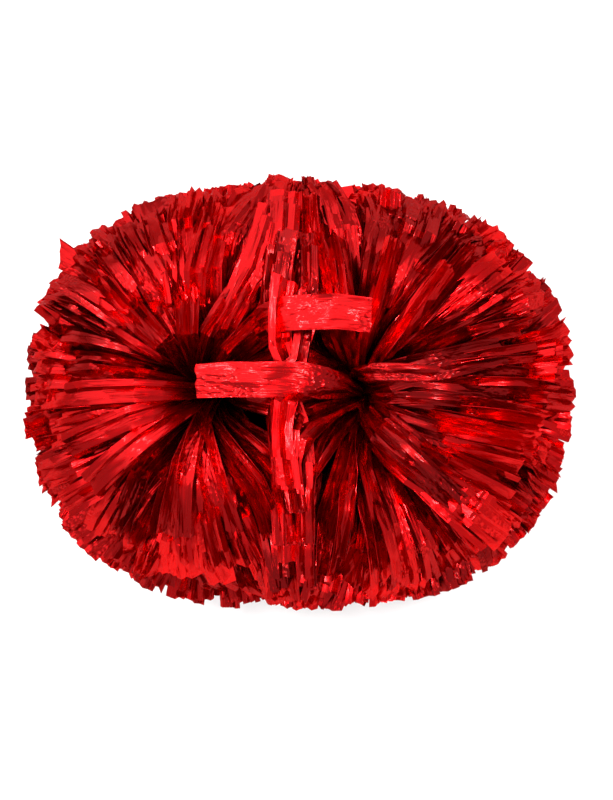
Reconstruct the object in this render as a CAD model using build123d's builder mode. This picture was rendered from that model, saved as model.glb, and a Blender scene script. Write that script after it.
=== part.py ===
"""Cheer pom pom on a baton handle: two tufts of slit metallic film, one bound to each end of a hollow baton.

Each tuft is a band of film wound on the baton's end and left uncut there (the header). Its slit edges are the
streamers: eight packs that fan out round the baton, and one crown that folds out over the end cap. Every pack
and crown is one closed soft solid that fills the space its streamers hold, and it swings on its own root.

Frame: +X along the baton, +Z up, origin on the surface under the middle of the pom. Millimetres and degrees.
"""

import math
import os

from build123d import *

# Overall size of the fluffed pom, laid down on its back
POM_LENGTH = 346.0
POM_WIDTH = 278.0
POM_HEIGHT = 178.0
AXIS_HEIGHT = 78.0  # baton axis above the surface, where the lowest streamers are pressed flat
OUTLINE_POWER = 2.5  # squareness of the plan outline, where 2 is an ellipse
OUTLINE_POINTS = 7  # on a quarter of the outline

# Baton
GRIP_DIAMETER = 24.0
GRIP_WALL = 2.5
TUFT_SPACING = 96.0  # between the middles of the two bindings
COLLAR_RISE = 0.95  # above the header that the collar keeps in place
COLLAR_THICKNESS = 3.0
COLLAR_FILLET = 1.0

# End caps
CAP_RISE = 1.95  # of the flange above the header
CAP_THICKNESS = 3.2
CAP_FILLET = 1.4
CAP_STEM_LENGTH = 18.0
CAP_STEM_WALL = 2.0
CAP_RIB_COUNT = 4
CAP_RIB_DEPTH = 0.6  # how far the slots between the stem's ribs are cut
CAP_RIB_SLOT = 5.0

# Binding
HEADER_WIDTH = 20.0  # uncut band of film, along the baton
HEADER_THICKNESS = 5.0  # all its windings
TIE_WIDTH = 2.5
TIE_THICKNESS = 1.0
TIE_BITE = 0.8  # how deep a tie sinks into the header
TIE_OFFSET = 7.4  # tie's middle from the binding's middle
TIE_HEAD_WIDTH = 4.6
TIE_HEAD_LENGTH = 5.0
TIE_HEAD_HEIGHT = 3.4
TIE_HEAD_ROUNDING = 0.8
TIE_TAIL_LENGTH = 2.5
TAPE_THICKNESS = 0.9
FIT_CLEARANCE = 0.05  # between pieces that are wound or pressed on each other
SIDE_CLEARANCE = 0.1  # between the header's edges and the collar and cap

# Streamer packs
PACKS_PER_TUFT = 8
PACK_HALF_WEDGE = 19.0  # a pack's reach round the baton, each way from its middle
PACK_OUTER_ANGLE = 42.0  # between the baton and the pack's edge on the cap's side
MIDDLE_CLEARANCE = 10.0  # from the pom's middle to a pack's edge on the grip's side, at the pom's outer surface
ROOT_RADIUS = 3.7
CROWN_ROOT_RADIUS = 15.0
CROWN_HALF_ANGLE = 38.0
SEAT_CLEARANCE = 0.3  # between a pack's root and what it sits on

# Places that follow from the sizes above
grip_radius = GRIP_DIAMETER / 2
bore_radius = grip_radius - GRIP_WALL
tuft_x = TUFT_SPACING / 2
binding_inner_x = tuft_x - HEADER_WIDTH / 2 - SIDE_CLEARANCE
binding_outer_x = tuft_x + HEADER_WIDTH / 2 + SIDE_CLEARANCE
header_inner_radius = grip_radius + FIT_CLEARANCE
header_radius = header_inner_radius + HEADER_THICKNESS
collar_radius = header_radius + COLLAR_RISE
cap_radius = header_radius + CAP_RISE
groove_radius = header_radius - TIE_BITE
tie_inner_radius = groove_radius + FIT_CLEARANCE
tape_inner_radius = header_radius + FIT_CLEARANCE
tape_radius = tape_inner_radius + TAPE_THICKNESS
tape_width = 2 * (TIE_OFFSET - TIE_HEAD_WIDTH / 2 - SEAT_CLEARANCE)
cap_face_x = binding_outer_x + CAP_THICKNESS
hinge_radius = tape_radius + SEAT_CLEARANCE + ROOT_RADIUS
crown_pivot_x = cap_face_x + SEAT_CLEARANCE + CROWN_ROOT_RADIUS
crest_height = POM_HEIGHT - AXIS_HEIGHT
axis_point = Vector(0, 0, AXIS_HEIGHT)
pack_pitch = 360 / PACKS_PER_TUFT
fan_reach = POM_LENGTH / 2  # from a root to well outside the pom

SIDES = {"left": -1, "right": 1}

os.makedirs("parts", exist_ok=True)


def save(piece, name):
    """Labels a finished piece and writes it as one STEP file."""
    piece.part.label = name
    export_step(piece.part, f"parts/{name}.step")


def across(x, side=1):
    """Plane square to the baton at x on one side, its normal along the baton and away from the grip."""
    return Plane(origin=(side * x, 0, AXIS_HEIGHT), x_dir=(0, 1, 0), z_dir=(side, 0, 0))


def lengthwise(side, azimuth=90.0):
    """Plane that holds the baton's axis: x away from the grip, y outwards at that angle round the baton."""
    turn = math.radians(azimuth)
    outward = Vector(0, math.cos(turn), math.sin(turn))
    return Plane(origin=axis_point, x_dir=(side, 0, 0), z_dir=Vector(side, 0, 0).cross(outward))


def baton_axis(side):
    """The baton's axis, pointing away from the grip on that side."""
    return Axis(axis_point, (side, 0, 0))


# Grip tube: a hollow moulding with a collar at each end of the grip
with BuildPart() as grip_tube:
    with BuildSketch(across(-binding_outer_x)):
        Circle(grip_radius)
        Circle(bore_radius, mode=Mode.SUBTRACT)
    extrude(amount=2 * binding_outer_x)
    for side in SIDES.values():
        with BuildSketch(across(binding_inner_x, side)):
            Circle(collar_radius)
            Circle(bore_radius, mode=Mode.SUBTRACT)
        extrude(amount=-COLLAR_THICKNESS)
    collar_rims = grip_tube.edges().filter_by(GeomType.CIRCLE).filter_by(lambda e: e.radius > grip_radius)
    fillet(collar_rims, radius=COLLAR_FILLET)
save(grip_tube, "grip_tube")


def make_end_cap(side):
    """Plug with a flange that keeps the binding on the tube; slots leave ribs that grip the bore."""
    stem_radius = bore_radius - FIT_CLEARANCE
    with BuildPart() as cap:
        with BuildSketch(across(binding_outer_x, side)):
            Circle(cap_radius)
        extrude(amount=CAP_THICKNESS)
        outer_rim = cap.edges().filter_by(GeomType.CIRCLE).sort_by(baton_axis(side))[-1]
        fillet(outer_rim, radius=CAP_FILLET)
        with BuildSketch(across(binding_outer_x, side)):
            Circle(stem_radius)
            Circle(stem_radius - CAP_STEM_WALL, mode=Mode.SUBTRACT)
            with PolarLocations(stem_radius, CAP_RIB_COUNT):
                Rectangle(2 * CAP_RIB_DEPTH, CAP_RIB_SLOT, mode=Mode.SUBTRACT)
        extrude(amount=-CAP_STEM_LENGTH)
    return cap


def make_header(side):
    """Uncut middle band of the film, wound on the tube, with a groove under each tie."""
    half = HEADER_WIDTH / 2
    with BuildPart() as header:
        with BuildSketch(across(tuft_x - half, side)):
            Circle(header_radius)
            Circle(header_inner_radius, mode=Mode.SUBTRACT)
        extrude(amount=HEADER_WIDTH)
        for offset in (-TIE_OFFSET, TIE_OFFSET):
            with BuildSketch(across(tuft_x + offset, side)):
                Circle(header_radius + TIE_BITE)
                Circle(groove_radius, mode=Mode.SUBTRACT)
            extrude(amount=TIE_WIDTH / 2 + FIT_CLEARANCE, both=True, mode=Mode.SUBTRACT)
    return header


def make_tie(x, side, azimuth):
    """Cable tie: a strap, a locking head that stands on it and the cut tail that comes out of the head."""
    head_foot = header_radius + FIT_CLEARANCE
    strap_radius = tie_inner_radius + TIE_THICKNESS
    turn = math.radians(azimuth)
    outward = Vector(0, math.cos(turn), math.sin(turn))
    head_plane = Plane(
        origin=Vector(side * x, 0, AXIS_HEIGHT) + outward * head_foot, x_dir=(1, 0, 0), z_dir=outward
    )
    with BuildPart() as tie:
        with BuildSketch(across(x, side)):
            Circle(strap_radius)
            Circle(tie_inner_radius, mode=Mode.SUBTRACT)
        extrude(amount=TIE_WIDTH / 2, both=True)
        with BuildSketch(head_plane):
            RectangleRounded(TIE_HEAD_WIDTH, TIE_HEAD_LENGTH, TIE_HEAD_ROUNDING)
        extrude(amount=TIE_HEAD_HEIGHT)
        with BuildSketch(head_plane.offset(TIE_HEAD_HEIGHT / 2)):
            with Locations((0, TIE_HEAD_LENGTH / 2)):
                Rectangle(TIE_WIDTH, 2 * TIE_TAIL_LENGTH)
        extrude(amount=TIE_THICKNESS)
    return tie


def make_tape(side):
    """Plastic tape wound over the middle of the header, between the ties."""
    with BuildPart() as tape:
        with BuildSketch(across(tuft_x, side)):
            Circle(tape_radius)
            Circle(tape_inner_radius, mode=Mode.SUBTRACT)
        extrude(amount=tape_width / 2, both=True)
    return tape


def outline_point(turn):
    """Point of the plan outline's first quarter, a superellipse, at that parameter from 0 to 90 degrees."""
    power = 2 / OUTLINE_POWER
    c, s = math.cos(math.radians(turn)), math.sin(math.radians(turn))
    return POM_LENGTH / 2 * max(c, 0) ** power, POM_WIDTH / 2 * max(s, 0) ** power


# Envelope: the outer surface that all the streamers' ends reach. It only shapes the packs and isn't a piece.
quarter = [outline_point(90 * i / (OUTLINE_POINTS - 1)) for i in range(OUTLINE_POINTS)]
with BuildPart() as envelope:
    with BuildSketch(Plane.XY):
        with BuildLine():
            right_half = Spline(quarter, tangents=[(0, 1), (-1, 0)])
            mirror(right_half, about=Plane.YZ)
            Line((-POM_LENGTH / 2, 0), (POM_LENGTH / 2, 0))
        make_face()
    revolve(axis=Axis.X)
    scale(by=(1, 1, crest_height / (POM_WIDTH / 2)))
pom_space = envelope.part.moved(Location(axis_point))


def trimmed_to_pom():
    """Cuts the part in work to the pom's outer surface and to the surface that it lies on."""
    add(pom_space, mode=Mode.INTERSECT)
    split(bisect_by=Plane.XY, keep=Keep.TOP)


def middle_reach(azimuth):
    """Distance from the baton's axis to the pom's outer surface, half way along it, at that angle round it."""
    c, s = math.cos(math.radians(azimuth)), math.sin(math.radians(azimuth))
    return 1 / math.hypot(c / (POM_WIDTH / 2), s / crest_height)


def inner_angle(azimuth):
    """Angle between the baton and a pack's edge on the grip's side, which just clears the pom's middle."""
    run, rise = tuft_x - MIDDLE_CLEARANCE, middle_reach(azimuth) - hinge_radius
    return math.pi / 2 + math.atan2(run, rise) - math.asin(ROOT_RADIUS / math.hypot(run, rise))


def make_pack(side, azimuth):
    """Fan of streamers round one root: a wedge between two angles to the baton and two angles round it."""
    low, high = math.radians(PACK_OUTER_ANGLE), inner_angle(azimuth)
    middle = (low + high) / 2
    root = Vector(tuft_x, hinge_radius)
    low_foot = root + Vector(math.sin(low), -math.cos(low)) * ROOT_RADIUS
    high_foot = root + Vector(-math.sin(high), math.cos(high)) * ROOT_RADIUS
    bottom = root - Vector(math.cos(middle), math.sin(middle)) * ROOT_RADIUS
    low_tip = low_foot + Vector(math.cos(low), math.sin(low)) * fan_reach
    high_tip = high_foot + Vector(math.cos(high), math.sin(high)) * fan_reach
    with BuildPart() as pack:
        with BuildSketch(lengthwise(side, azimuth)):
            with BuildLine():
                Polyline(low_foot, low_tip, high_tip, high_foot)
                ThreePointArc(high_foot, bottom, low_foot)
            make_face()
        extrude(amount=POM_WIDTH / 2, both=True)
        trimmed_to_pom()
        for way in (-1, 1):
            edge = lengthwise(1, azimuth + way * PACK_HALF_WEDGE)
            split(bisect_by=edge, keep=Keep.BOTTOM if way > 0 else Keep.TOP)
    return pack


def make_crown(side):
    """Streamers that fold out over the end cap: a cone round the baton's axis with a round root."""
    spread = math.radians(CROWN_HALF_ANGLE)
    pivot = Vector(crown_pivot_x, 0)
    foot = pivot + Vector(-math.sin(spread), math.cos(spread)) * CROWN_ROOT_RADIUS
    shoulder = pivot + Vector(-math.cos(spread / 2), math.sin(spread / 2)) * CROWN_ROOT_RADIUS
    rim = foot + Vector(math.cos(spread), math.sin(spread)) * fan_reach
    with BuildPart() as crown:
        with BuildSketch(lengthwise(side)):
            with BuildLine():
                ThreePointArc(pivot - Vector(CROWN_ROOT_RADIUS, 0), shoulder, foot)
                Polyline(foot, rim, (rim.X, 0), pivot - Vector(CROWN_ROOT_RADIUS, 0))
            make_face()
        revolve(axis=baton_axis(side))
        trimmed_to_pom()
    return crown


def pack_azimuth(number):
    """Angle round the baton of a pack's middle, from +Y up towards +Z. The crest lies between two packs."""
    return pack_pitch * (number - 0.5)


for name, side in SIDES.items():
    save(make_end_cap(side), f"{name}_end_cap")
    save(make_header(side), f"{name}_film_header")
    save(make_tie(tuft_x - TIE_OFFSET, side, 200), f"{name}_inner_cable_tie")
    save(make_tie(tuft_x + TIE_OFFSET, side, 20), f"{name}_outer_cable_tie")
    save(make_tape(side), f"{name}_binding_tape")
    save(make_crown(side), f"{name}_crown_streamers")
    for number in range(1, PACKS_PER_TUFT + 1):
        save(make_pack(side, pack_azimuth(number)), f"{name}_streamer_pack_{number}")
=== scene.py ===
"""Cheer pom pom on a baton: metallised film streamers round a black moulded handle, on white paper."""
import math
import random

import bmesh
import bpy
from mathutils import Matrix, Vector


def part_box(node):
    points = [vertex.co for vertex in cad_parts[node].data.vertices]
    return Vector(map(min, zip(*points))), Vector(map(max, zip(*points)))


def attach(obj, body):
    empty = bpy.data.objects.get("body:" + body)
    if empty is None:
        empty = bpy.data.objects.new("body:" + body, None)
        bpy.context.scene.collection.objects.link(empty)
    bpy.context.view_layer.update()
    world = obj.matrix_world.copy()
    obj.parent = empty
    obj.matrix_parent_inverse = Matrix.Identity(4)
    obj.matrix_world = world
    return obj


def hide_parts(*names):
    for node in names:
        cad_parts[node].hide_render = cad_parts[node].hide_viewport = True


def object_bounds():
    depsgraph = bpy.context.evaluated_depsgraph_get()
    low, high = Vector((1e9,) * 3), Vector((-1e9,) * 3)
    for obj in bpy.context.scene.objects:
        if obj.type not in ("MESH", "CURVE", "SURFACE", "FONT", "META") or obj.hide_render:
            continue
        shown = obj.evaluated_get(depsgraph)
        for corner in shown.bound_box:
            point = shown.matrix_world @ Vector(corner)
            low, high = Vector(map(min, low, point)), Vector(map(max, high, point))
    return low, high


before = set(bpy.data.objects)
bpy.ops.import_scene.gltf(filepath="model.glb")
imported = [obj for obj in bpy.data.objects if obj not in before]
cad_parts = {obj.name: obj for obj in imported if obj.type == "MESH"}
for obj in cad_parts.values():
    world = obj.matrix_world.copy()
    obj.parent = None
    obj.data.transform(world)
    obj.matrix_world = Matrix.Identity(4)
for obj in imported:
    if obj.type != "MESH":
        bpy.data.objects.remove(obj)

cad_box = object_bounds()
MM = 0.001
UP = Vector((0, 0, 1))

# Streamer stock: metallised film slit in 3/4 inch strips, 6 inches long
STRIP_WIDTH = 19 * MM
STRIP_LENGTH = 135 * MM  # free of the binding
FILM = 0.22 * MM  # drawn four times as thick as the real film, so that a cut edge still catches the light
ACROSS, ALONG = 5, 8  # faces of one strip


def drawn_size(metres):
    """A size read from the frame, to the tenth of a millimetre that the CAD is drawn to."""
    return round(metres, 4)


# The baton and its two bindings, from the CAD
tube_low, tube_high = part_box("grip_tube")
AXIS_Z = drawn_size((tube_low[2] + tube_high[2]) / 2)
header_low, header_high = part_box("right_film_header")
TUFT_X = drawn_size((header_low[0] + header_high[0]) / 2)
BINDING_RADIUS = drawn_size(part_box("right_binding_tape")[1][1])
CAP_FACE_X = drawn_size(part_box("right_end_cap")[1][0])

# The pom's outer surface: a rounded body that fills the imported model's box, above the floor
low, high = (Vector(c) for c in cad_box)
HALF_LENGTH = (high.x - low.x) / 2
HALF_WIDTH = (high.y - low.y) / 2
CREST = high.z - AXIS_Z
SQUARENESS = 2.5  # 2 is an ellipsoid, and more is nearer to a box

# How far the crests of the left and the right tuft have slumped from over their bindings
WHORL_SLUMP = Vector((-6 * MM, -5 * MM, 0)), Vector((-16 * MM, -5 * MM, 0))


# ---------------------------------------------------------------- materials

def linear(code):
    """sRGB hex to the linear colour that a shader takes."""
    parts = [int(code[i:i + 2], 16) / 255 for i in (0, 2, 4)]
    return tuple(c / 12.92 if c <= 0.04045 else ((c + 0.055) / 1.055) ** 2.4 for c in parts) + (1.0,)


def add_node(tree, kind, links=(), **settings):
    """One node: its settings are properties, or inputs by name, and its links come from other nodes."""
    node = tree.nodes.new(kind)
    for key, value in settings.items():
        if hasattr(node, key):
            setattr(node, key, value)
        else:
            node.inputs[key.replace("_", " ")].default_value = value
    for socket, source in dict(links).items():
        tree.links.new(source, node.inputs[socket])
    return node


def new_material(name):
    mat = bpy.data.materials.new(name)
    mat.use_nodes = True
    tree = mat.node_tree
    shader = tree.nodes["Principled BSDF"]
    return mat, tree, shader


def per(across, along):
    """Mapping scale for a pattern whose repeat is this many mm across and along a strip."""
    return (1 / (across * MM), 1 / (along * MM), 1)


def metallised_film(name, code, mirror_code):
    """PET film, vacuum-coated with aluminium under a dyed lacquer, slit, crushed and fluffed.

    The dyed metal mirrors its surroundings in red; the clear lacquer over it adds small, pale glints.
    """
    mat, tree, shader = new_material(name)
    coord = add_node(tree, "ShaderNodeTexCoord")
    uv = coord.outputs["UV"]
    # Flat facets between the folds of crushed film, each tilted its own way
    facet_map = add_node(tree, "ShaderNodeMapping", {"Vector": uv}, Scale=per(4.5, 17))
    facets = add_node(tree, "ShaderNodeTexVoronoi", {"Vector": facet_map.outputs[0]},
                      voronoi_dimensions="2D", Scale=1.0, Randomness=1.0)
    tilt = add_node(tree, "ShaderNodeVectorMath", {0: facets.outputs["Color"]}, operation="SUBTRACT")
    tilt.inputs[1].default_value = (0.5, 0.5, 0.5)
    offset = add_node(tree, "ShaderNodeVectorMath",
                      {0: facet_map.outputs[0], 1: facets.outputs["Position"]}, operation="SUBTRACT")
    facet_height = add_node(tree, "ShaderNodeVectorMath", {0: tilt.outputs[0], 1: offset.outputs[0]},
                            operation="DOT_PRODUCT")
    # Creases pressed in along the strip
    crease_map = add_node(tree, "ShaderNodeMapping", {"Vector": uv}, Scale=per(1.5, 40))
    creases = add_node(tree, "ShaderNodeTexNoise", {"Vector": crease_map.outputs[0]}, Scale=1.0, Detail=2.0)
    # Soft waves, which also carry the wear of the lacquer
    wave_map = add_node(tree, "ShaderNodeMapping", {"Vector": uv}, Scale=per(7, 20))
    waves = add_node(tree, "ShaderNodeTexNoise", {"Vector": wave_map.outputs[0]}, Scale=1.0, Detail=1.0)
    # Fine crackle in patches where the film was crushed
    crackle_map = add_node(tree, "ShaderNodeMapping", {"Vector": uv}, Scale=per(2.2, 3.4))
    crackle = add_node(tree, "ShaderNodeTexVoronoi", {"Vector": crackle_map.outputs[0]},
                       Scale=1.0, Randomness=1.0)
    patch_map = add_node(tree, "ShaderNodeMapping", {"Vector": uv}, Scale=per(22, 36))
    patch = add_node(tree, "ShaderNodeTexNoise", {"Vector": patch_map.outputs[0]}, Scale=1.0, Detail=0.0)
    crushed = add_node(tree, "ShaderNodeMapRange", {"Value": patch.outputs[0]}, From_Min=0.54, From_Max=0.72)
    # The four reliefs, one on the other
    bump_waves = add_node(tree, "ShaderNodeBump", {"Height": waves.outputs[0]},
                          Strength=0.6, Distance=2 * MM)
    bump_facets = add_node(tree, "ShaderNodeBump",
                           {"Height": facet_height.outputs["Value"], "Normal": bump_waves.outputs[0]},
                           Strength=1.0, Distance=2.6 * MM)
    bump_creases = add_node(tree, "ShaderNodeBump",
                            {"Height": creases.outputs[0], "Normal": bump_facets.outputs[0]},
                            Strength=0.8, Distance=0.6 * MM)
    bump_crackle = add_node(tree, "ShaderNodeBump",
                            {"Height": crackle.outputs["Distance"], "Strength": crushed.outputs[0],
                             "Normal": bump_creases.outputs[0]}, Distance=0.6 * MM)
    # Painted shade: broad random patches, shared by a clump's strips, darken and lighten the base colour
    painted_shade_map = add_node(tree, "ShaderNodeMapping", {"Vector": uv}, Scale=per(110, 200))
    painted_shade = add_node(tree, "ShaderNodeTexNoise", {"Vector": painted_shade_map.outputs[0]}, Scale=1.0, Detail=0.0)
    # How dark or light the painted shade makes the red, from under half to a little over its own value
    depth = add_node(tree, "ShaderNodeMapRange", {"Value": painted_shade.outputs[0]},
                     From_Min=0.3, From_Max=0.7, To_Min=0.45, To_Max=1.1)
    colour = add_node(tree, "ShaderNodeHueSaturation", {"Value": depth.outputs[0]}, Color=linear(code))
    rough = add_node(tree, "ShaderNodeMapRange", {"Value": waves.outputs[0]}, To_Min=0.18, To_Max=0.36)
    tree.links.new(colour.outputs[0], shader.inputs["Base Color"])
    tree.links.new(rough.outputs[0], shader.inputs["Roughness"])
    tree.links.new(bump_crackle.outputs[0], shader.inputs["Normal"])
    tree.links.new(bump_crackle.outputs[0], shader.inputs["Coat Normal"])
    shader.inputs["Metallic"].default_value = 1.0
    shader.inputs["Specular Tint"].default_value = linear(mirror_code)
    # A very thin coat of very high index: hardly a veil over the red, but bright where it catches a lamp
    shader.inputs["Coat Weight"].default_value = 0.024
    shader.inputs["Coat Roughness"].default_value = 0.1
    shader.inputs["Coat IOR"].default_value = 4.0
    return mat


def grained_plastic(name, code, roughness, grain_mm, depth_mm):
    """Moulded or rolled plastic with the grain of its mould or roller, polished in patches by handling."""
    mat, tree, shader = new_material(name)
    coord = add_node(tree, "ShaderNodeTexCoord")
    grain = add_node(tree, "ShaderNodeTexNoise", {"Vector": coord.outputs["Object"]},
                     Scale=1 / (grain_mm * MM), Detail=3.0)
    wear = add_node(tree, "ShaderNodeTexNoise", {"Vector": coord.outputs["Object"]},
                    Scale=1 / (17 * MM), Detail=4.0)
    rough = add_node(tree, "ShaderNodeMapRange", {"Value": wear.outputs[0]},
                     To_Min=roughness - 0.08, To_Max=roughness + 0.1)
    bump = add_node(tree, "ShaderNodeBump", {"Height": grain.outputs[0]},
                    Strength=0.4, Distance=depth_mm * MM)
    tree.links.new(rough.outputs[0], shader.inputs["Roughness"])
    tree.links.new(bump.outputs[0], shader.inputs["Normal"])
    shader.inputs["Base Color"].default_value = linear(code)
    shader.inputs["IOR"].default_value = 1.5
    return mat


# Mirror-bright and deep red, dark where it mirrors a gap between strips
red_film = metallised_film("red_metallised_PET_film", "CA0208", "C80A12")
# Spark-eroded mould: an even, satin black
black_polypropylene = grained_plastic("black_moulded_polypropylene", "17171A", 0.42, 0.7, 0.05)
# Smoother mould: a darker black with tighter highlights
black_nylon = grained_plastic("black_moulded_nylon", "101012", 0.35, 0.4, 0.02)
# Calendered and stretched: dark red with a coarse, shallow grain
red_vinyl_tape = grained_plastic("red_vinyl_tape", "8E1018", 0.3, 1.6, 0.06)


def dress(node, mat):
    """Gives a CAD node its material."""
    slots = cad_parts[node].data.materials
    slots.clear()
    slots.append(mat)


# ---------------------------------------------------------------- how a streamer runs

def pom_depth(p):
    """How far out a point lies: 0 on the baton's axis, 1 on the pom's outer surface."""
    around = math.hypot(p.y / HALF_WIDTH, (p.z - AXIS_Z) / CREST)
    return (abs(p.x / HALF_LENGTH) ** SQUARENESS + around ** SQUARENESS) ** (1 / SQUARENESS)


def outward(p):
    """Direction square to the layer of the pom that a point lies in."""
    y, z = p.y / HALF_WIDTH, (p.z - AXIS_Z) / CREST
    around = max(math.hypot(y, z), 0.01) ** (SQUARENESS - 2)
    along = math.copysign(abs(p.x / HALF_LENGTH) ** (SQUARENESS - 1), p.x)
    return Vector((along / HALF_LENGTH, around * y / HALF_WIDTH, around * z / CREST)).normalized()


def shaky(rng, size):
    return Vector((rng.gauss(0, size), rng.gauss(0, size), rng.gauss(0, size)))


def smooth(t):
    t = min(max(t, 0.0), 1.0)
    return t * t * (3 - 2 * t)


def direction(side, polar, azimuth):
    """Unit vector at an angle to the baton's outward end and an angle round the baton, in radians."""
    off_axis = math.sin(polar)
    return Vector((side * math.cos(polar), off_axis * math.cos(azimuth), off_axis * math.sin(azimuth)))


# Heights are above the baton's axis
OUTLINE_TOP = 50 * MM  # strips below this show in the outline and are trimmed to it
RIM_TUCK, RIM_TUCK_OVER = 0.07, 40 * MM  # they also run this much deeper, once they are that far below it
SKIRT_LAYER, SKIRT_TUCK = 0.92, 0.05  # below the axis, strips lie at least this far out, less the tuck


def layer_at(height, habit):
    """The depth in the pom that a strip keeps to at a height."""
    if height > AXIS_Z:
        return habit["layer"] - RIM_TUCK * smooth((AXIS_Z + OUTLINE_TOP - height) / RIM_TUCK_OVER)
    return max(habit["layer"], SKIRT_LAYER) - SKIRT_TUCK


def kept_in(d, square, plan, stops_at_rim):
    """The direction, turned along the layer that it would leave; square points straight out of the layer.

    A strip that meets the layer almost squarely has little of its run left. At the rim it then pushes on
    outwards to be trimmed, and elsewhere it folds over and falls along the layer.
    """
    out = d.dot(square)
    if out <= 0:
        return d
    d = d - square * out
    if stops_at_rim:
        if d.length < 0.3:
            d += plan * 0.5
    elif d.length < 0.5:
        fall = plan * 0.3 - UP * 0.8
        d += fall - square * fall.dot(square)
    return d


MINGLE_BELOW = 15 * MM
CROSS_ABOVE, CROSS_WITHIN = 45 * MM, 45 * MM  # height, and distance to either side of the axis
OPEN_BEYOND, OPENING = 60 * MM, 0.03  # to either side of the axis, and how fast the parting widens there


def gap_at(p, habit):
    """How near to the pom's middle a strip comes, where it meets the strips of the other tuft."""
    if p.z < AXIS_Z + MINGLE_BELOW:
        return habit["mingling"]
    if abs(p.y) < CROSS_WITHIN and p.z > AXIS_Z + CROSS_ABOVE:
        return habit["crossing"]
    return habit["parting"] + max(abs(p.y) - OPEN_BEYOND, 0) * OPENING


# Climbs and falls are in radians from level
SAG = math.radians(8)  # a rising strip ends this far under what its spring gives
FALL = math.radians(6)  # a falling one ends this much steeper than it set off
STEEPEST = -1.45
RIM_FROM, RIM_TO = math.radians(-10), math.radians(38)  # strips that set off between these end at the rim
RIM_SHARE = 0.6  # none of them is trimmed to less than this share of its length
ARCHING = 1.1  # a strip has done its bending at 1 / 1.1 of its length
LANDING = -0.4  # steepest slope of a strip that comes down on the floor
ROOM_ABOVE = 0.05  # a strip this far inside its layer can be pushed upwards
MEETING_ZONE = 24 * MM  # the tufts press on each other over this distance
TURN_BACK, TURN_ASIDE, TURN_UP = 1.05, 0.75, 0.5  # where the run towards the middle goes instead


def strip_path(root, heading, habit, rng):
    """Centre line of one streamer: it springs from the binding, arches over and follows the surface."""
    fine = 2 * ALONG
    step = habit["length"] / fine
    side = math.copysign(1, root.x)
    rise = math.asin(max(min(heading.normalized().z, 1), -1))
    plan = Vector((heading.x, heading.y, 0))
    plan = plan.normalized() if plan.length > 0.02 else habit["fallen"]
    if rise > 0:
        droop = rise * habit["spring"] - SAG
    else:
        droop = max(rise - FALL, STEEPEST)
    stops_at_rim = RIM_FROM < rise < RIM_TO
    points, sway = [root.copy()], Vector((0, 0, 0))
    for i in range(fine):
        p = points[-1]
        climb = rise + (droop - rise) * smooth(i / fine * ARCHING)
        d = plan * math.cos(climb) + Vector((0, 0, math.sin(climb)))
        sway += shaky(rng, habit["wander"])
        for station, bend in habit["kinks"]:
            if station == i:
                sway += bend
        d = (d + sway).normalized()
        ahead = p + d * step
        depth = pom_depth(ahead)
        if stops_at_rim and depth > habit["end"] and i > fine * RIM_SHARE:
            break
        layer = layer_at(p.z, habit)
        if depth > layer:
            d = kept_in(d, outward(ahead), plan, stops_at_rim)
        if p.z + d.z * step < habit["ground"]:
            d.z = max((habit["ground"] - p.z) / step, LANDING)
        room = (side * p.x - gap_at(p, habit)) / MEETING_ZONE
        if side * d.x < 0 and room < 1:
            turned = abs(d.x) * (1 - max(room, 0))
            d.x += side * turned * TURN_BACK
            d.y += math.copysign(turned * TURN_ASIDE, plan.y)
            if p.z > AXIS_Z and depth < layer - ROOM_ABOVE:
                d.z += turned * TURN_UP
        ahead = p + d.normalized() * step
        ahead.z = min(ahead.z, AXIS_Z + habit["layer"] * CREST)
        points.append(ahead)
    return resample([leaning(p, side) for p in points], ALONG)


LEAN_FROM, LEAN_OVER = 15 * MM, 60 * MM  # the slump starts at this height and is full that much higher
LEAN_REACH = 75 * MM  # it fades out at about this distance from over the binding


def leaning(p, side):
    """The point, moved with the crest of its tuft, which has slumped sideways from over the binding."""
    slump = WHORL_SLUMP[side > 0]
    reach = math.hypot(p.x - side * TUFT_X, p.y) / LEAN_REACH
    return p + slump * (smooth((p.z - AXIS_Z - LEAN_FROM) / LEAN_OVER) * math.exp(-reach * reach))


def resample(points, count):
    """The same line with a given number of equal runs."""
    last = len(points) - 1
    line = []
    for i in range(count + 1):
        at = last * i / count
        k = min(int(at), last - 1)
        line.append(points[k].lerp(points[k + 1], at - k))
    return line


def eased(points):
    """The same line with its corners cut, twice over."""
    for _ in range(2):
        inner = [q for a, b in zip(points, points[1:]) for q in (a.lerp(b, 0.25), a.lerp(b, 0.75))]
        points = [points[0], *inner[1:-1], points[-1]]
    return points


# ---------------------------------------------------------------- one streamer's film

GATHERED_WIDTH = 4 * MM  # at the binding, all its pleats closed
WIDEST = 18.8 * MM  # never quite flat
FLOOR_GAP = 0.6 * MM
LEVELLING = 0.7  # how far the faces lie level, against 1 for lying along the pom's surface
ASKEW = 0.6 * MM  # scissor cuts wander this much off square

# Ways that a strip's five faces fold up and down across it
PLEATS = ((1, -1, 1, -1, 1), (1, 1, -1, 1, -1), (1, -1, -1, 1, -1), (1, -1, 1, 1, -1), (-1, 1, 1, -1, 1),
          (1, -1, 1, -1, -1))


def strip_frames(points, roll, twist):
    """For each point of a streamer: the way it runs, the way its width lies and the way its face looks."""
    frames, last = [], None
    for i, p in enumerate(points):
        run = (points[min(i + 1, len(points) - 1)] - points[max(i - 1, 0)]).normalized()
        wide = outward(p).cross(run)
        level = UP.cross(run)
        if level.dot(wide) < 0:
            level.negate()
        wide = (wide + level * LEVELLING).normalized()
        if last is not None and wide.dot(last) < 0:
            wide.negate()
        last = wide
        turned = Matrix.Rotation(roll + twist * i / len(points), 3, run) @ wide
        frames.append((run, turned, run.cross(turned)))
    return frames


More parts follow.
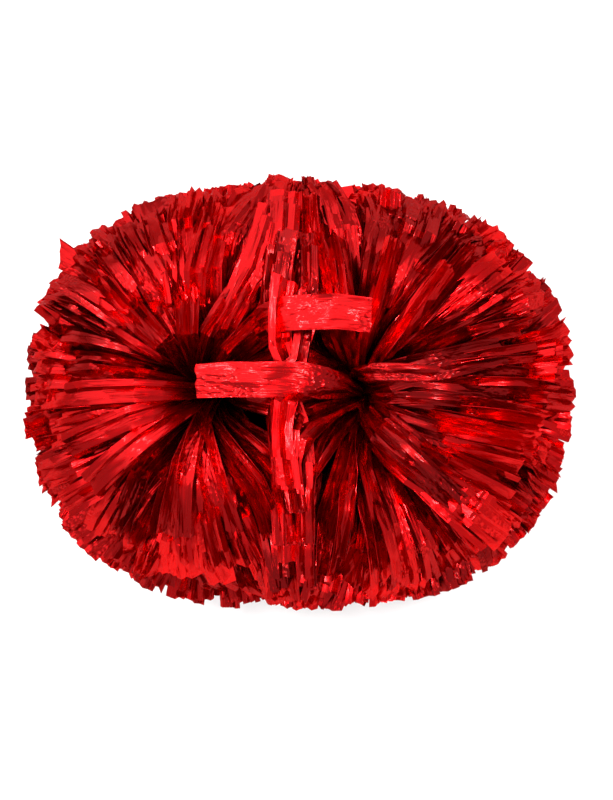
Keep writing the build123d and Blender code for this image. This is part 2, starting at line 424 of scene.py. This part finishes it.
def trimmed(p, trim):
    """The point, drawn in level to the outline that the pom is trimmed to, if it is low enough to show."""
    depth = pom_depth(p)
    if depth <= trim or p.z > AXIS_Z + OUTLINE_TOP:
        return p
    return Vector((p.x * trim / depth, p.y * trim / depth, p.z))


def pleat_heights(pleats, width):
    """Heights of the fold lines across a strip, about their middle, when it is pleated to a width."""
    flat_step = STRIP_WIDTH / ACROSS
    lift = math.sqrt(max(flat_step ** 2 - (width / ACROSS) ** 2, 0))
    heights = [0.0]
    for slope in pleats:
        heights.append(heights[-1] + slope * lift)
    middle = sum(heights) / len(heights)
    return [height - middle for height in heights]


def add_strip(bm, uv, points, habit, rng):
    """One streamer as a sheet of film: narrow and deeply pleated at the binding, open at its cut end."""
    frames = strip_frames(points, habit["roll"] + rng.gauss(0, 0.1), habit["twist"])
    made = bmesh.ops.create_grid(bm, x_segments=ACROSS, y_segments=ALONG, size=0.5)
    # The clump's place on the film's patterns, which also sets its painted shade, with a little of each
    # strip's own
    shift = habit["patterns_and_painted_shade_place"] + Vector((rng.uniform(0, 0.03), rng.uniform(0, 0.06)))
    cut = rng.gauss(0, ASKEW) + habit["cut"]
    open_width = min(habit["width"] * rng.uniform(0.92, 1.06), WIDEST)
    place = {v: (round((v.co.x + 0.5) * ACROSS), round((v.co.y + 0.5) * ALONG)) for v in made["verts"]}
    for v, (i, j) in place.items():
        t = j / ALONG
        width = GATHERED_WIDTH + (open_width - GATHERED_WIDTH) * smooth(t / habit["opens"])
        heights = pleat_heights(habit["pleats"], width)
        run, wide, front = frames[j]
        co = points[j] + wide * (i / ACROSS - 0.5) * width + front * heights[i]
        if j == ALONG:
            co += run * cut * (i / ACROSS - 0.5) * 2
        v.co = trimmed(co + shaky(rng, habit["crush"] * min(t * 2, 1)), habit["trim"])
        v.co.z = max(v.co.z, FLOOR_GAP)
    for face in {f for v in place for f in v.link_faces}:
        for loop in face.loops:
            i, j = place[loop.vert]
            loop[uv].uv = (shift.x + i * STRIP_WIDTH / ACROSS, shift.y + j * STRIP_LENGTH / ALONG)


def habit_of(rng, side):
    """What the streamers of one clump share. Depths are pom_depth's, and angles are in radians."""
    return {
        "length": STRIP_LENGTH * rng.uniform(0.95, 1.0),
        "layer": rng.triangular(0.8, 1.0, 0.97),  # depth that they run at
        "end": rng.uniform(0.99, 1.01),  # depth that they stop at, at the rim
        "fallen": Vector((side * rng.uniform(-0.6, 1), rng.uniform(-1, 1), 0)).normalized(),  # if upright
        "spring": rng.uniform(-0.15, 0.35),  # share of its rise that a strip still has at its end
        "kinks": [(rng.randint(5, 14), shaky(rng, 0.12)) for _ in range(rng.choice((0, 0, 1, 1)))],
        "wander": rng.uniform(0.004, 0.018),  # drift of the direction at each step
        "parting": rng.uniform(1.5, 4.5) * MM,  # gap to the pom's middle
        "mingling": rng.uniform(-1, 2) * MM,  # the same, low down
        "crossing": rng.uniform(-14, 2) * MM,  # the same, over the baton, where some strips cross
        "ground": rng.uniform(2, 9) * MM,  # height that they come to rest at
        "roll": rng.gauss(0, 0.34),
        "twist": rng.gauss(0, 0.35),
        "width": rng.triangular(10, 18.7, 16) * MM,  # at the open end
        "opens": rng.uniform(0.5, 0.85),  # share of the length that the pleats open over
        "pleats": rng.choice(PLEATS),
        "crush": rng.uniform(0.1, 0.3) * MM,  # dents
        "trim": rng.uniform(0.985, 1.0),  # depth that the outline is trimmed to
        # The place on the patterns also sets how light or dark the clump's painted shade is
        "patterns_and_painted_shade_place": Vector((rng.uniform(0, 40), rng.uniform(0, 40))),  # place on the film's patterns, in metres
        "cut": rng.choice((0, 0, 0, 0, 2, -2)) * MM,  # how far the cut end is askew
    }


# ---------------------------------------------------------------- packs and tufts

CREASE_ANGLE = math.radians(34)  # a fold sharper than this shows as an edge


class Pack:
    """The streamers that one CAD solid stands for, gathered until they are made into one piece."""

    def __init__(self, name, body, node):
        self.name, self.body, self.node, self.count = name, body, node, 0
        self.bm = bmesh.new()
        self.uv = self.bm.loops.layers.uv.new("UVMap")

    def add(self, points, habit, rng):
        add_strip(self.bm, self.uv, points, habit, rng)
        self.count += 1

    def finish(self):
        for edge in self.bm.edges:
            edge.smooth = not edge.is_boundary and edge.calc_face_angle(0) < CREASE_ANGLE
        for face in self.bm.faces:
            face.smooth = True
        piece = new_piece(self.name, self.bm, red_film)
        film = piece.modifiers.new("film", "SOLIDIFY")
        film.thickness = FILM
        film.offset = 0
        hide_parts(self.node)
        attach(piece, self.body)


def new_piece(name, bm, mat):
    """The bmesh as an object of one material."""
    mesh = bpy.data.meshes.new(name)
    bm.to_mesh(mesh)
    bm.free()
    mesh.materials.append(mat)
    piece = bpy.data.objects.new(name, mesh)
    bpy.context.scene.collection.objects.link(piece)
    return piece


CLUMPS, MEMBERS = 125, 6
CROWN_ANGLE = math.radians(42)  # strips nearer than this to the baton's outward end fold over its cap
INNER_ANGLE = math.radians(119)  # strips lean this far back over the grip
GOLDEN_ANGLE = math.pi * (3 - math.sqrt(5))
SPREAD = 0.055  # radians, within a clump
PACKS = 8
CROWN_SHORTENING = 0.92  # the fold over the cap takes the rest

# Single streamers that lie across the others or stick out of the outline are fluffed flat and left untrimmed
STRAY_HABIT = {"roll": 0, "twist": 0, "width": 18.85 * MM, "opens": 0.5,
               "cut": 0, "crush": 0.4 * MM, "trim": 9}

# Those streamers: the number of the pack, points in mm, and what differs from the habit above
STRAYS = {
    "left": [
        (2, [(-41, 12, 98), (-33, 24, 140), (-18, 33, 168), (0, 35, 177), (20, 35, 177), (40, 34, 174)],
         {"roll": 0.1}),
        (1, [(-52, 18, 88), (-85, 42, 106), (-117, 64, 110), (-148, 84, 98)],
         {"cut": 7 * MM, "width": 15 * MM}),
        (2, [(-50, 18, 95), (-65, 53, 124), (-78, 84, 133), (-89, 111, 119)],
         {"roll": -0.15}),
    ],
    "right": [
        (3, [(42, -8, 100), (34, -4, 144), (16, -1, 167), (-10, -1, 174), (-33, -1, 172), (-55, -1, 166)],
         {"roll": -0.12}),
        (2, [(40, 6, 100), (32, 4, 144), (35, 3, 164), (53, 3, 169), (76, 3, 163)],
         {"roll": 0.35, "width": 11 * MM}),
    ],
}


def foot_of(side, polar, square, in_crown, rng):
    """Where a streamer leaves the binding, just proud of it, or its fold over the end cap."""
    if in_crown:
        fold = Vector((side * (CAP_FACE_X + rng.uniform(3, 5) * MM), 0, AXIS_Z))
        return fold + square * (3 + 14 * polar) * MM
    out = BINDING_RADIUS + rng.uniform(1.5, 3) * MM
    return Vector((side * (TUFT_X + rng.uniform(-7, 7) * MM), 0, AXIS_Z)) + square * out


def add_clump(pack, side, polar, azimuth, rng):
    """Streamers that spring from one place and lie together, each a little apart from the others."""
    in_crown = polar < CROWN_ANGLE
    habit = habit_of(rng, side)
    # The ones on the shoulder, above the axis and below the crest, lie flatter
    if 0 < direction(side, polar, azimuth).z < 0.6:
        habit.update(roll=habit["roll"] * 0.5, twist=habit["twist"] * 0.5)
    for _ in range(MEMBERS):
        own_polar = abs(polar + rng.gauss(0, SPREAD))
        own_azimuth = azimuth + rng.gauss(0, SPREAD) / max(math.sin(polar), 0.3)
        aim = direction(side, own_polar, own_azimuth)
        square = direction(side, math.pi / 2, own_azimuth)
        own = dict(habit,
                   layer=habit["layer"] + rng.gauss(0, 0.012),
                   end=habit["end"] + rng.gauss(0, 0.005),
                   trim=min(habit["trim"] + rng.gauss(0, 0.004), 1.0),
                   length=habit["length"] * rng.uniform(0.96, 1.0))
        if in_crown:
            own["length"] *= CROWN_SHORTENING
        foot = foot_of(side, own_polar, square, in_crown, rng)
        pack.add(strip_path(foot, aim, own, rng), own, rng)


def make_tuft(tuft, side):
    """All the streamers of one tuft, aimed evenly outwards from its binding in clumps."""
    rng = random.Random(f"{tuft} tuft")
    packs = [Pack(f"{tuft}_streamers_{n}", f"{tuft}_pack_{n}", f"{tuft}_streamer_pack_{n}")
             for n in range(1, PACKS + 1)]
    crown = Pack(f"{tuft}_crown", f"{tuft}_crown", f"{tuft}_crown_streamers")
    for k in range(CLUMPS):
        polar = math.acos(1 - (k + 0.5) / CLUMPS * (1 - math.cos(INNER_ANGLE)))
        azimuth = (k * GOLDEN_ANGLE) % math.tau
        pack = crown if polar < CROWN_ANGLE else packs[int(azimuth / math.radians(360 / PACKS)) % PACKS]
        add_clump(pack, side, polar, azimuth, rng)
    for number, points, changes in STRAYS[tuft]:
        own = {**habit_of(rng, side), **STRAY_HABIT, **changes}
        line = eased([Vector(p) * MM for p in points])
        packs[number - 1].add(resample(line, ALONG), own, rng)
    for pack in packs + [crown]:
        pack.finish()


def wind_header(tuft):
    """The uncut middle of the film, wound on the baton and gathered into small pleats by the ties."""
    low, high = (Vector(c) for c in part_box(f"{tuft}_film_header"))
    # Radii from just over the tube to just under the ties
    inner, valley, ridge, pleats = 12.1 * MM, 15.2 * MM, 16.2 * MM, 48
    bm = bmesh.new()
    uv = bm.loops.layers.uv.new("UVMap")
    corners = [bm.verts.new((x, 0, AXIS_Z + radius))
               for x, radius in ((low.x, inner), (high.x, inner), (high.x, ridge), (low.x, ridge))]
    rim = [bm.edges.new((corners[i], corners[i - 1])) for i in range(4)]
    bmesh.ops.spin(bm, geom=corners + rim, cent=(0, 0, AXIS_Z), axis=(1, 0, 0), angle=math.tau,
                   steps=2 * pleats, use_merge=True)
    for v in bm.verts:
        station = round(math.atan2(v.co.y, v.co.z - AXIS_Z) / math.tau * 2 * pleats)
        if station % 2 and math.hypot(v.co.y, v.co.z - AXIS_Z) > valley:
            v.co.y *= valley / ridge
            v.co.z = AXIS_Z + (v.co.z - AXIS_Z) * valley / ridge
    bmesh.ops.recalc_face_normals(bm, faces=bm.faces)
    for face in bm.faces:
        for loop in face.loops:
            co = loop.vert.co
            loop[uv].uv = (co.x + co.y, co.z)
    piece = new_piece(f"{tuft}_wound_film", bm, red_film)
    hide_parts(f"{tuft}_film_header")
    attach(piece, "baton")


for tuft, side in (("left", -1), ("right", 1)):
    make_tuft(tuft, side)
    wind_header(tuft)
    for node, mat in (("end_cap", black_polypropylene), ("inner_cable_tie", black_nylon),
                      ("outer_cable_tie", black_nylon), ("binding_tape", red_vinyl_tape)):
        dress(f"{tuft}_{node}", mat)
dress("grip_tube", black_polypropylene)


# ---------------------------------------------------------------- studio

def studio_floor():
    """A floor of matt white paper with a faint fibre, wider than the camera sees."""
    mat, tree, shader = new_material("matt_white_backdrop_paper")
    coord = add_node(tree, "ShaderNodeTexCoord")
    fibre = add_node(tree, "ShaderNodeTexNoise", {"Vector": coord.outputs["Object"]},
                     Scale=1 / (1.1 * MM), Detail=3.0)
    bump = add_node(tree, "ShaderNodeBump", {"Height": fibre.outputs[0]}, Strength=0.1, Distance=0.2 * MM)
    tree.links.new(bump.outputs[0], shader.inputs["Normal"])
    shader.inputs["Base Color"].default_value = linear("F4F4F4")
    shader.inputs["Roughness"].default_value = 0.9
    bm = bmesh.new()
    bmesh.ops.create_grid(bm, x_segments=2, y_segments=2, size=4)
    new_piece("backdrop", bm, mat)


def softbox(name, place, target, size, power):
    """A rectangular soft light that faces a point."""
    data = bpy.data.lights.new(name, "AREA")
    data.shape = "RECTANGLE"
    data.size, data.size_y = size
    data.energy = power
    lamp = bpy.data.objects.new(name, data)
    bpy.context.scene.collection.objects.link(lamp)
    lamp.location = place
    lamp.rotation_euler = (Vector(target) - Vector(place)).to_track_quat("-Z", "Y").to_euler()


# Name, place and size in metres, and power in watts: a large dim box fills, and small lamps give the glints
LAMPS = (
    ("overhead_softbox", (-0.45, 0.5, 1.35), (3.0, 2.4), 29),
    ("key_lamp", (-0.15, 0.15, 1.35), (0.2, 0.2), 4),
    ("glint_lamp_left", (-0.7, 0.3, 1.15), (0.12, 0.12), 3),
    ("glint_lamp_right", (0.55, 0.35, 1.2), (0.12, 0.12), 3),
    ("glint_lamp_front_left", (-0.35, -0.6, 1.2), (0.12, 0.12), 3),
    ("glint_lamp_front_right", (0.6, -0.5, 1.1), (0.12, 0.12), 3),
)

studio_floor()
for name, place, size, power in LAMPS:
    softbox(name, place, Vector((0, 0, AXIS_Z)), size, power)

world = bpy.data.worlds.new("studio")
bpy.context.scene.world = world
world.use_nodes = True
world.node_tree.nodes["Background"].inputs["Color"].default_value = (1, 1, 1, 1)
world.node_tree.nodes["Background"].inputs["Strength"].default_value = 0.68

# A view from nearly straight above, whose frame is this wide where the baton lies
ELEVATION = math.radians(86)
DISTANCE = 0.6
SENSOR_MM = 36
FRAME_WIDTH = 0.3893
camera = bpy.data.cameras.new("camera")
camera.sensor_fit = "HORIZONTAL"
camera.sensor_width = SENSOR_MM
camera.lens = SENSOR_MM * DISTANCE / FRAME_WIDTH
view = bpy.data.objects.new("camera", camera)
bpy.context.scene.collection.objects.link(view)
aim = Vector((5.1 * MM, -5.4 * MM, AXIS_Z))
back = Vector((0, -math.cos(ELEVATION), math.sin(ELEVATION)))
view.location = aim + back * DISTANCE
view.rotation_euler = (-back).to_track_quat("-Z", "Y").to_euler()
bpy.context.scene.camera = view
bpy.context.scene.view_settings.view_transform = "Standard"
